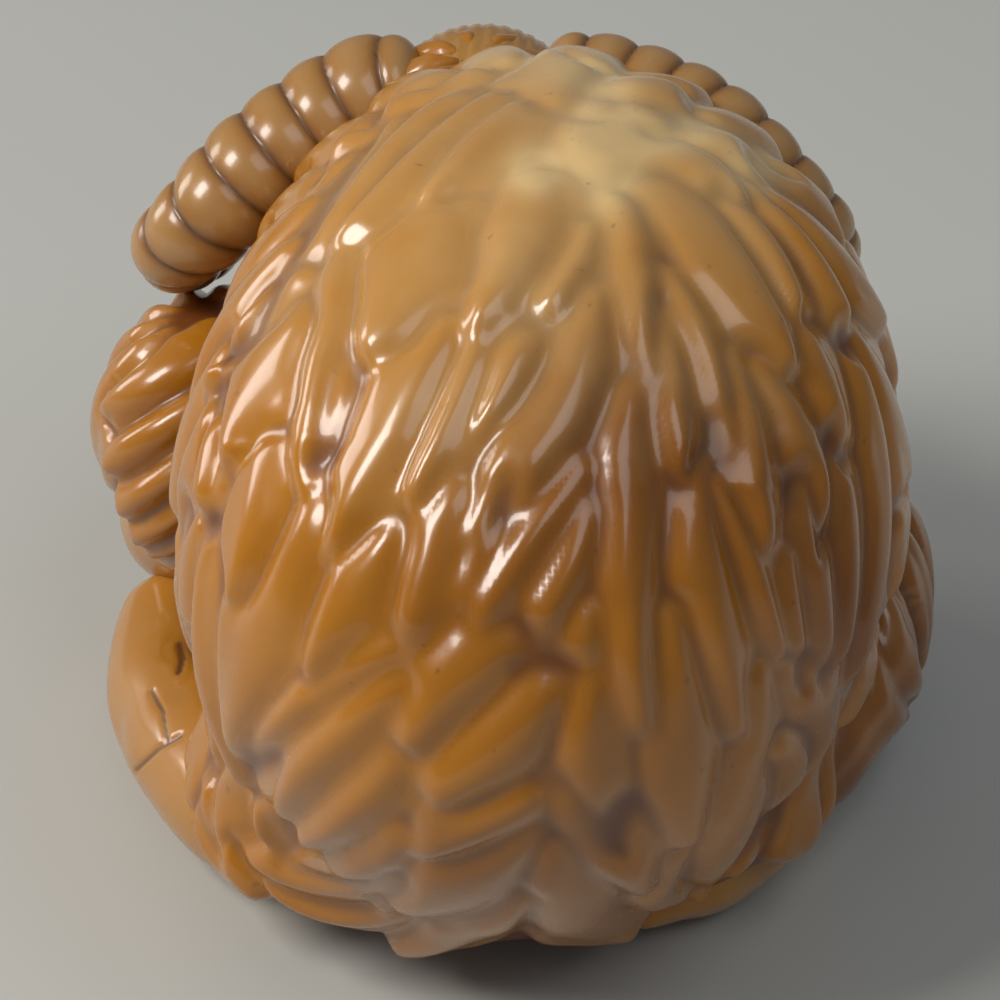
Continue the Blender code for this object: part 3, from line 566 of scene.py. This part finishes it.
# The head and the ears. A narrow goat's face between the horns, with brows, cheeks, nostrils and a
# shut mouth cut in; the ears stand out below the horns and are hollowed in front.
HEAD = (
    (4.8, -11.5, 22.4, 5.2), (5.4, -16.6, 25.3, 4.6), (5.8, -20.2, 24.0, 4.1),
    (6.2, -22.8, 20.4, 3.1), (6.5, -24.2, 16.8, 2.6),
)
HEAD_FLATNESS, EAR_FLATNESS = 0.92, 0.45
LEFT_EAR = (
    (8.0, -17.4, 25.2, 1.6), (9.8, -19.0, 26.6, 1.9), (11.8, -20.2, 26.5, 1.7), (13.6, -21.0, 25.1, 0.9),
)
RIGHT_EAR = (
    (3.2, -17.8, 25.2, 1.6), (0.8, -19.6, 26.4, 1.9), (-1.4, -20.8, 26.2, 1.7), (-3.2, -21.6, 24.7, 0.9),
)
LEFT_EYE, RIGHT_EYE, EYE_RADIUS = (9.1, -20.6, 23.2), (2.6, -20.9, 23.2), 1.15
FACE_FORWARD = unit(np.array([0.04, -0.87, 0.48]))
FACE_BUMPS = (
    ((9.0, -19.4, 25.2), 1.3, 0.45), ((2.6, -19.7, 25.2), 1.3, 0.45), ((8.9, -20.4, 20.4), 1.6, 0.3),
    ((3.2, -20.7, 20.4), 1.6, 0.3), ((5.5, -26.0, 16.0), 0.5, -0.7), ((7.6, -25.9, 16.0), 0.5, -0.7),
)
EYELID_RADIUS, EYELID_WIDTH, EYELID_RISE, SOCKET_SIZE, SOCKET_DEPTH = 1.5, 0.35, 0.32, 1.1, 0.45
MOUTH_SHARE, MOUTH_WIDTH, MOUTH_DEPTH = 0.945, 0.01, 0.45
FACE_HAIRS, HAIR_DEPTH, HAIR_END, EAR_DEPTH, EAR_REACH = 22, 0.12, 0.62, 0.5, 0.28
tan_face = finish("face", (0.44, 0.21, 0.03), (0.11, 0.035, 0.006), (0.6, 0.4, 0.18))
middle, out, radius, faces, share, turn = limb(HEAD, 220, 144, HEAD_FLATNESS)
points = middle + out * radius[:, None]
press = np.zeros(len(points))
for place, size, depth in FACE_BUMPS:
    press += depth * np.exp(-((points - np.array(place)) ** 2).sum(1) / size**2)
for eye in (LEFT_EYE, RIGHT_EYE):
    from_eye = np.linalg.norm(points - np.array(eye), axis=1)
    press += EYELID_RISE * np.exp(-(((from_eye - EYELID_RADIUS) / EYELID_WIDTH) ** 2))
    press -= SOCKET_DEPTH * np.exp(-((from_eye / SOCKET_SIZE) ** 2))
mouth = np.exp(-(((share - MOUTH_SHARE) / MOUTH_WIDTH) ** 2)) * (out @ FACE_FORWARD > -0.5)
hairs = np.abs(np.sin(FACE_HAIRS * turn)) * np.clip((HAIR_END - share) * 8, 0, 1)
press += HAIR_DEPTH * hairs - MOUTH_DEPTH * mouth
face_groove = np.clip(0.85 + press * 1.6 - 0.5 * mouth, 0, 1)
# The last value is a little painted shade.
head = piece("head", points + out * press[:, None], faces, tan_face, face_groove, 0.15, 0.1)
ears = []
for name, stations in (("left_ear", LEFT_EAR), ("right_ear", RIGHT_EAR)):
    middle, out, radius, faces, share, turn = limb(stations, 80, 48, EAR_FLATNESS)
    hollow = np.exp(-(((share - 0.5) / EAR_REACH) ** 2)) * np.clip(out @ FACE_FORWARD * 2, 0, 1)
    points = middle + out * (radius - EAR_DEPTH * hollow)[:, None]
    # The last value is a little painted shade.
    ears.append(piece(name, points, faces, tan_face, 0.95 - 0.7 * hollow, 0.15, 0.1))
for part in (head, *ears):
    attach(part, ROOT)
    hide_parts("goat")

# The eyes. Small dark polished domes, one on each side of the head, left standing between the lids
# when the sockets are cut.
eye_dark = finish("eye", (0.012, 0.008, 0.006), (0.01, 0.006, 0.004), (0.03, 0.02, 0.01), 0.8, 0.0)
for name, centre in (("left_eye", LEFT_EYE), ("right_eye", RIGHT_EYE)):
    directions, faces = cube_sphere(14)
    eye = piece(name, np.array(centre) + directions * EYE_RADIUS, faces, eye_dark, 1.0, 0.0, 0.0)
    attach(eye, ROOT)
    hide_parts("goat")

# The legs. All four are folded under the goat: the hind legs run forward along the base and the
# forelegs are bent at the knee. They are smooth, worn paler than the coat, and finely cracked.
LEGS = (
    ("left_hind_leg", (
        (7.0, 7.5, 4.8, 2.8), (11.2, 5.6, 4.0, 3.2), (14.3, 1.8, 3.3, 3.2), (16.7, -2.4, 3.1, 3.2),
        (17.7, -6.3, 3.3, 3.0), (18.0, -9.9, 4.2, 2.4),
    )),
    ("left_foreleg", (
        (15.0, -8.0, 10.4, 3.4), (17.8, -10.9, 7.4, 3.4), (17.0, -14.8, 4.2, 3.2),
        (11.5, -18.0, 2.4, 2.5), (6.8, -18.0, 2.2, 2.3),
    )),
    ("right_hind_leg", (
        (-4.0, 7.0, 3.8, 2.6), (-7.0, 4.4, 2.8, 2.7), (-9.6, 0.0, 2.5, 2.6), (-10.4, -4.5, 2.3, 2.3),
    )),
    ("right_foreleg", (
        (-8.0, -10.0, 9.2, 3.4), (-11.2, -14.3, 6.2, 3.2), (-8.5, -17.6, 3.6, 2.9),
        (-4.6, -18.9, 2.4, 2.5), (-1.4, -18.0, 2.2, 2.2),
    )),
)
CRACKS = (
    ((135, 770), (158, 748), (180, 735)), ((180, 640), (182, 655), (178, 668)), ((238, 622), (240, 650)),
    ((150, 690), (162, 712), (166, 740)),
)
CRACK_WIDTH, CRACK_DEPTH, LEG_DENTS, LEG_DENT_SIZE, LEG_DENT_DEPTH = 2.6, 0.12, 16, 1.3, 0.22


def near_lines(points, normals, lines, width):
    """How near a point lies to thin lines in the view: exp(-(distance / width)^2) of the nearest."""
    x, y = in_picture(points)
    seen = np.stack([x, y], -1)
    nearest = np.full(len(points), 1e6)
    for line in lines:
        line = np.array(line, float)
        for start, end in zip(line[:-1], line[1:]):
            share = np.clip((seen - start) @ (end - start) / ((end - start) ** 2).sum(), 0, 1)
            away = np.linalg.norm(seen - start - share[:, None] * (end - start), axis=1)
            nearest = np.minimum(nearest, away)
    return np.exp(-((nearest / width) ** 2)) * (normals @ BACK > 0)


worn_leg = finish("worn leg", (0.46, 0.2, 0.02), (0.14, 0.05, 0.008), (0.68, 0.48, 0.25))
draw = np.random.default_rng(11)
for name, stations in LEGS:
    middle, out, radius, faces, share, turn = limb(stations, 260, 110)
    points = middle + out * radius[:, None]
    dents = np.zeros(len(points))
    for place in points[draw.integers(0, len(points), LEG_DENTS)]:
        dents += np.exp(-((points - place) ** 2).sum(1) / LEG_DENT_SIZE**2)
    cracks = near_lines(points, out, CRACKS, CRACK_WIDTH)
    press = -LEG_DENT_DEPTH * np.minimum(dents, 1) - CRACK_DEPTH * cracks
    leg_groove = np.clip(0.95 - 0.25 * dents - 0.9 * cracks, 0, 1)
    # The last value is a little painted shade.
    leg = piece(name, points + out * press[:, None], faces, worn_leg, leg_groove, 0.15, 0.05)
    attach(leg, ROOT)
    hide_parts("goat")

# The hooves. Each forefoot ends in a cloven hoof, two short pointed toes side by side, darker than
# the leg and tucked under the chest.
HOOVES = (
    ("left_outer_toe", ((7.0, -17.2, 2.2, 1.9), (4.6, -17.0, 1.8, 1.7), (2.8, -16.7, 1.4, 1.1))),
    ("left_inner_toe", ((7.0, -18.9, 2.0, 1.9), (4.6, -19.1, 1.7, 1.7), (2.6, -19.1, 1.3, 1.1))),
    ("right_outer_toe", ((-0.8, -18.6, 2.2, 1.9), (0.6, -17.2, 1.8, 1.7), (1.6, -15.6, 1.4, 1.1))),
    ("right_inner_toe", ((-1.6, -17.2, 2.2, 1.9), (-0.6, -15.8, 1.8, 1.7), (0.2, -14.4, 1.4, 1.1))),
)
HOOF_WAVES, HOOF_RING_DEPTH = 60, 0.04
hoof_brown = finish("hoof", (0.2, 0.09, 0.02), (0.05, 0.02, 0.006), (0.4, 0.25, 0.1))
for name, stations in HOOVES:
    middle, out, radius, faces, share, turn = limb(stations, 60, 40)
    rings = 0.5 + 0.5 * np.cos(share * HOOF_WAVES)
    points = middle + out * (radius - HOOF_RING_DEPTH * rings)[:, None]
    hoof = piece(name, points, faces, hoof_brown, 0.95 - 0.4 * rings, 0.1, 0.0)
    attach(hoof, ROOT)
    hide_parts("goat")

# The floor, the lights and the camera. A pale matt table top, a large soft window light from the
# upper left, a weaker one from the left, a soft cool light above, and the camera behind and above.
ROOM_COLOUR, ROOM_BRIGHTNESS = (0.95, 0.96, 1.0, 1.0), 0.16
FLOOR_COLOUR, FLOOR_SIZE, FLOOR_DROP = (0.5, 0.51, 0.48, 1.0), 3.0, 0.00003
LIGHTS = (
    ("window", (0.54, 0.38, 0.75), 0.45, (0.15, 0.2), 1.45, (1.0, 0.95, 0.9)),
    ("side window", (0.92, -0.2, 0.34), 0.42, (0.12, 0.2), 0.5, (1.0, 0.94, 0.9)),
    ("ceiling", (-0.45, 0.3, 0.84), 0.5, (0.3, 0.3), 0.5, (0.9, 0.95, 1.0)),
)
half = FLOOR_SIZE / 2
floor_mesh = bpy.data.meshes.new("floor")
corners = [(-half, -half, -FLOOR_DROP), (half, -half, -FLOOR_DROP), (half, half, -FLOOR_DROP),
           (-half, half, -FLOOR_DROP)]
floor_mesh.from_pydata(corners, [], [(0, 1, 2, 3)])
floor_paint = bpy.data.materials.new("pale floor")
floor_paint.use_nodes = True
floor_shader = floor_paint.node_tree.nodes["Principled BSDF"]
floor_shader.inputs["Base Color"].default_value = FLOOR_COLOUR
floor_shader.inputs["Roughness"].default_value = 0.7
floor_mesh.materials.append(floor_paint)
floor = bpy.data.objects.new("floor", floor_mesh)
bpy.context.scene.collection.objects.link(floor)
middle_of_goat = Vector((0.0, 0.0, 0.015))
for name, direction, distance, size, power, colour in LIGHTS:
    lamp = bpy.data.lights.new(name, "AREA")
    lamp.shape = "RECTANGLE"
    lamp.size, lamp.size_y = size
    lamp.energy, lamp.color = power, colour
    light = bpy.data.objects.new(name, lamp)
    toward = Vector(direction).normalized()
    light.location = middle_of_goat + toward * distance
    light.rotation_euler = toward.to_track_quat("Z", "Y").to_euler()
    bpy.context.scene.collection.objects.link(light)
world = bpy.data.worlds.new("soft room")
world.use_nodes = True
world.node_tree.nodes["Background"].inputs["Color"].default_value = ROOM_COLOUR
world.node_tree.nodes["Background"].inputs["Strength"].default_value = ROOM_BRIGHTNESS
bpy.context.scene.world = world
bpy.context.scene.view_settings.view_transform = "Standard"
lens = bpy.data.cameras.new("camera")
lens.sensor_width = 36.0
lens.lens = 36.0 * VIEW_DISTANCE / PIXEL / 1000
lens.clip_start = 0.01
camera = bpy.data.objects.new("camera", lens)
axes = np.eye(4)
axes[:3, 0], axes[:3, 1], axes[:3, 2] = RIGHT, UP, BACK
axes[:3, 3] = (EYE_POINT - ORIGIN) * MM
camera.matrix_world = Matrix(axes.tolist())
bpy.context.scene.collection.objects.link(camera)
bpy.context.scene.camera = camera
